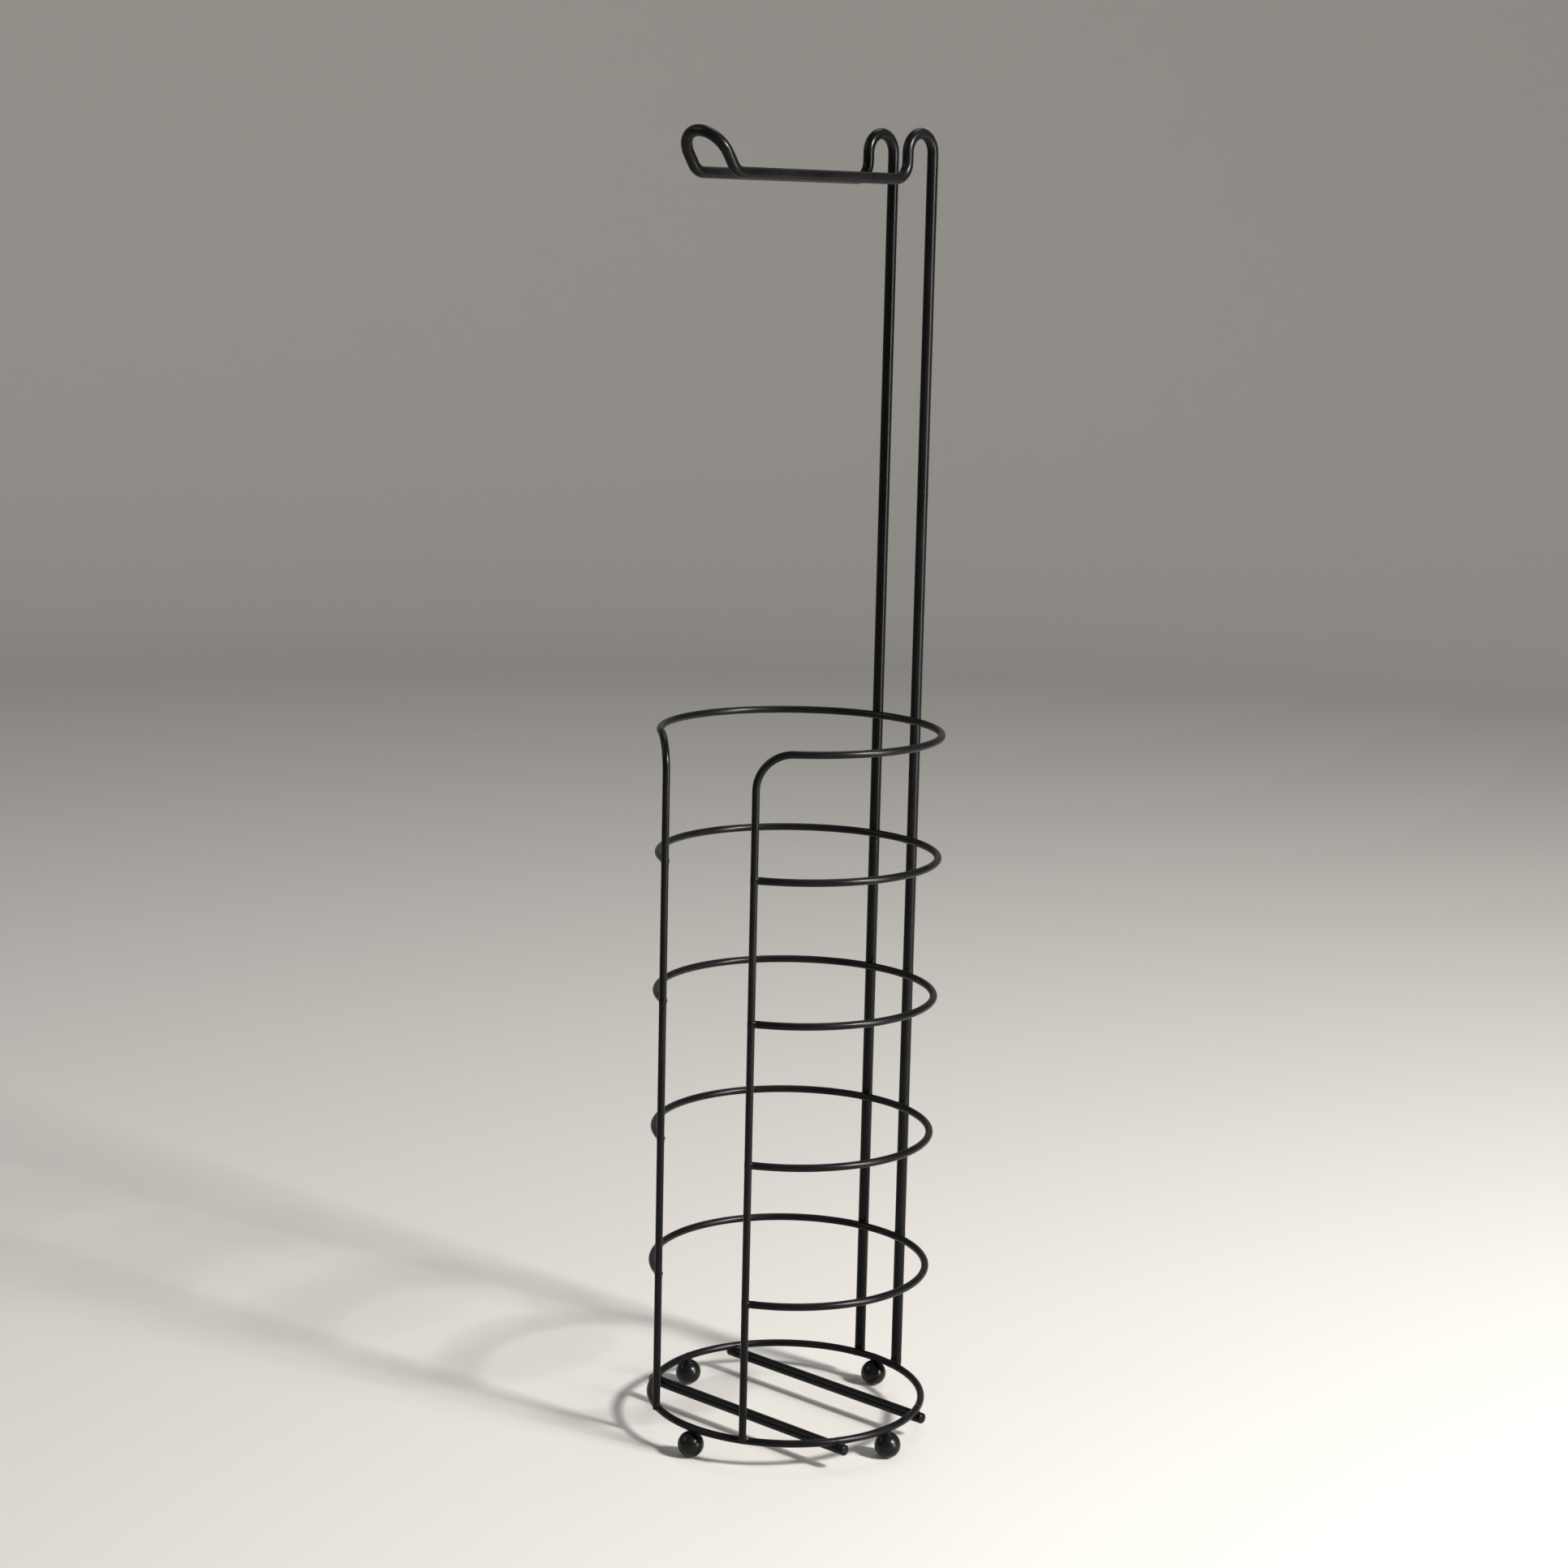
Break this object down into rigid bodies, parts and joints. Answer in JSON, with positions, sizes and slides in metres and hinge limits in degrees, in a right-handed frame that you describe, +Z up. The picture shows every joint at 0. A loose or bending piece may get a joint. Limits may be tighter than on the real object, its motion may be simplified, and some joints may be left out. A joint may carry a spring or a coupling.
{
  "type": "toilet paper holder",
  "caption": "Free-standing toilet paper holder of black bent wire: a ring basket on ball feet stores spare rolls, and tall uprights bend over into a level roll arm with a raised tip.",
  "frame": {"origin": "on the floor, at the axis of the basket, in the middle of the ball feet", "axes": "+Z up along the basket axis; -Y is the front, towards the tip of the roll arm; the uprights stand at +Y; +X is the right-hand side seen from the front"},
  "size_m": [0.1466, 0.153, 0.6297],
  "materials": {
    "frame_coat": "satin black powder coat on heavy steel wire",
    "basket_coat": "satin black powder coat on light steel wire",
    "ball_coat": "satin black powder coat on steel balls, a little smoother than on the wire",
    "weld_coat": "satin black powder coat over resistance welds"
  },
  "bodies": {
    "root": {"main_frame_wire": "frame_coat", "basket_frame_wire": "basket_coat", "hoop_ring_1": "basket_coat", "hoop_ring_2": "basket_coat", "hoop_ring_3": "basket_coat", "hoop_ring_4": "basket_coat", "base_ring": "basket_coat", "crossbar_front": "frame_coat", "crossbar_back": "frame_coat", "foot_front": "ball_coat", "foot_right": "ball_coat", "foot_back": "ball_coat", "foot_left": "ball_coat", "upright_welds": "weld_coat", "hoop_end_welds": "weld_coat", "post_foot_welds": "weld_coat", "crossbar_welds": "weld_coat", "foot_welds": "weld_coat"}
  },
  "joints": []
}
